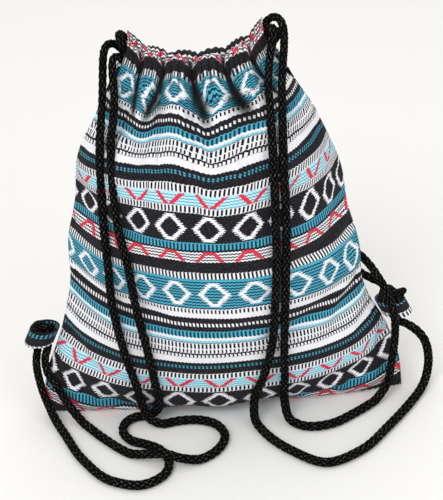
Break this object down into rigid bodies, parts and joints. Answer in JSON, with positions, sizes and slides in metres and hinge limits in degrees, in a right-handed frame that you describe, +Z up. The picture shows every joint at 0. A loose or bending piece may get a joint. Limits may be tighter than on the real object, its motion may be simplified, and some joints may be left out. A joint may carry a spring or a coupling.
{
  "type": "drawstring backpack",
  "caption": "Soft drawstring backpack of patterned woven cotton with a gathered mouth and two rope cords that form its shoulder straps.",
  "frame": {"origin": "middle of the bottom seam, on the surface the bag stands on", "axes": "+Z up, +X to the bag's right in the front view, front towards -Y"},
  "size_m": [0.412, 0.2206, 0.4078],
  "materials": {
    "front_cloth": "woven cotton with bands of black, white, teal and red",
    "back_cloth": "woven cotton with bands of black, white, teal and red",
    "tab_cloth": "strip of the same woven cotton",
    "cord": "braided black cotton"
  },
  "bodies": {
    "root": {"front_panel": "front_cloth", "back_panel": "back_cloth", "left_tab": "tab_cloth", "right_tab": "tab_cloth", "left_drawcord": "cord", "right_drawcord": "cord", "left_knot": "cord", "right_knot": "cord"}
  },
  "joints": []
}
